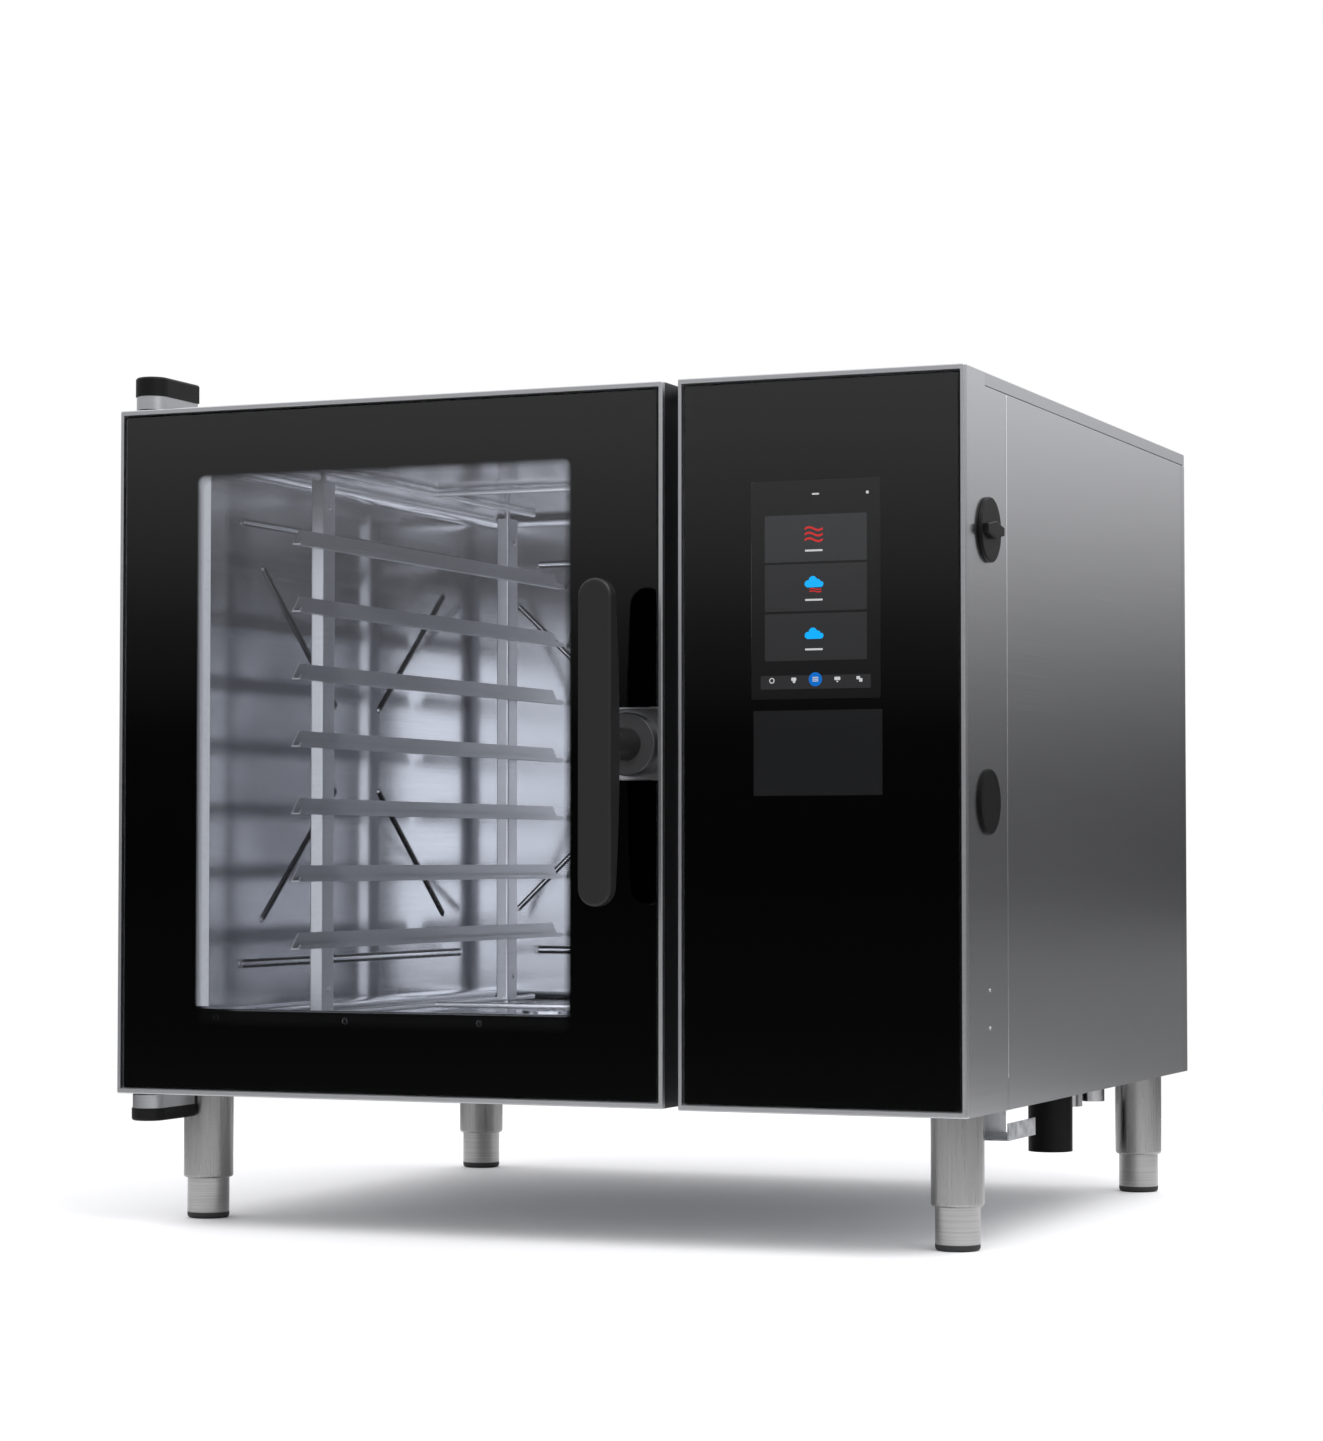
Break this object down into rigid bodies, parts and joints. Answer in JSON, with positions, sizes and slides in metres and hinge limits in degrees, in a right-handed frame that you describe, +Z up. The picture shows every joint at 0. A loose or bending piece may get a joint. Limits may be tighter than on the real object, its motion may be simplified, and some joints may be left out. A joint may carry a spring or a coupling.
{
  "type": "combi steamer oven",
  "caption": "Counter-top combi steam oven with a hinged glass door, swivel door handle, tray racks, circulation fan, a control column with a touch screen and adjustable feet.",
  "frame": {"origin": "on the supporting surface, under the middle of the overall footprint (handle and side knob included)", "axes": "+X to the oven's right seen from the front, +Y to its back, +Z up"},
  "size_m": [0.9266, 0.8972, 0.877],
  "materials": {
    "brushed_steel": "horizontally brushed stainless sheet",
    "trim_steel": "satin stainless, rolled edges",
    "cavity_steel": "bright brushed stainless, near mirror",
    "plain_steel": "mill-finish stainless",
    "leg_steel": "turned stainless tube",
    "heater_steel": "heat-darkened steel tube",
    "motor_aluminium": "cast",
    "black_glass": "back-printed black glass, clear in the window",
    "clear_glass": "clear toughened glass",
    "display": "display module",
    "black_plastic": "fine-textured moulded plastic",
    "grip_plastic": "dark grey moulded plastic",
    "seal_rubber": "silicone",
    "mineral_wool": "pressed fibre slab",
    "circuit_board": "printed circuit board",
    "lamp_lens": "frosted lens"
  },
  "bodies": {
    "cabinet": {"base_pan": "plain_steel", "left_side_panel": "brushed_steel", "right_side_panel": "brushed_steel", "rear_panel": "brushed_steel", "top_cover": "brushed_steel", "front_frame": "cavity_steel", "cavity_left_wall": "cavity_steel", "cavity_back_wall": "cavity_steel", "cavity_floor": "cavity_steel", "cavity_ceiling": "cavity_steel", "cavity_right_wall": "cavity_steel", "air_baffle": "cavity_steel", "drain_strainer": "cavity_steel", "door_gasket": "seal_rubber", "insulation": "mineral_wool", "rack_frames": "cavity_steel", "rack_runners": "cavity_steel", "heating_element": "heater_steel", "steam_injector": "plain_steel", "fan_motor": "motor_aluminium", "drain_box": "plain_steel", "drain_pipe": "black_plastic", "water_inlets": "trim_steel", "cable_gland": "black_plastic", "steam_vent": "trim_steel", "control_housing": "brushed_steel", "control_bezel": "trim_steel", "control_glass": "black_glass", "touch_display": "display", "control_board": "circuit_board", "power_unit": "black_plastic", "side_cap": "black_plastic", "cooling_fan_frame": "black_plastic", "panel_screws": "plain_steel", "hinge_brackets": "trim_steel", "hinge_caps": "black_plastic", "latch_receiver": "plain_steel", "leg_sleeves": "trim_steel"},
    "door": {"door_frame": "trim_steel", "handle_recess": "trim_steel", "door_outer_glass": "black_glass", "door_liner": "cavity_steel", "door_inner_glass": "clear_glass", "glass_rail": "black_plastic", "glass_rail_screws": "plain_steel", "door_light_strip": "lamp_lens", "door_hinge_pins": "plain_steel"},
    "handle": {"handle_grip": "grip_plastic", "handle_boss": "grip_plastic", "handle_spindle": "plain_steel", "latch_cam": "plain_steel"},
    "side_knob": {"side_knob": "black_plastic"},
    "circulation_fan": {"fan_wheel": "plain_steel", "fan_shaft": "plain_steel"},
    "cooling_fan": {"cooling_fan_rotor": "black_plastic"},
    "foot_front_left": {"foot_front_left": "leg_steel"},
    "foot_front_right": {"foot_front_right": "leg_steel"},
    "foot_rear_left": {"foot_rear_left": "leg_steel"},
    "foot_rear_right": {"foot_rear_right": "leg_steel"}
  },
  "joints": [
    {"name": "door_hinge", "type": "hinge", "parent": "cabinet", "child": "door", "pos_m": [-0.43525, -0.3606, 0.489], "axis": [0, 0, -1], "range_deg": [0, 130]},
    {"name": "handle_turn", "type": "hinge", "parent": "door", "child": "handle", "pos_m": [0.10475, -0.4086, 0.489], "axis": [0, -1, 0], "range_deg": [-90, 90], "stiffness_Nm_per_rad": 0.6},
    {"name": "side_knob_turn", "type": "hinge", "parent": "cabinet", "child": "side_knob", "pos_m": [0.45925, -0.3066, 0.6917], "axis": [1, 0, 0], "range_deg": [0, 90]},
    {"name": "circulation_fan_spin", "type": "hinge", "parent": "cabinet", "child": "circulation_fan", "pos_m": [0.13675, 0.0514, 0.5], "axis": [1, 0, 0], "continuous": true},
    {"name": "cooling_fan_spin", "type": "hinge", "parent": "cabinet", "child": "cooling_fan", "pos_m": [0.29675, -0.1186, 0.155], "axis": [0, 0, 1], "continuous": true},
    {"name": "foot_front_left_height", "type": "slide", "parent": "cabinet", "child": "foot_front_left", "axis": [0, 0, -1], "range_m": [0, 0.03]},
    {"name": "foot_front_right_height", "type": "slide", "parent": "cabinet", "child": "foot_front_right", "axis": [0, 0, -1], "range_m": [0, 0.03]},
    {"name": "foot_rear_left_height", "type": "slide", "parent": "cabinet", "child": "foot_rear_left", "axis": [0, 0, -1], "range_m": [0, 0.03]},
    {"name": "foot_rear_right_height", "type": "slide", "parent": "cabinet", "child": "foot_rear_right", "axis": [0, 0, -1], "range_m": [0, 0.03]}
  ]
}
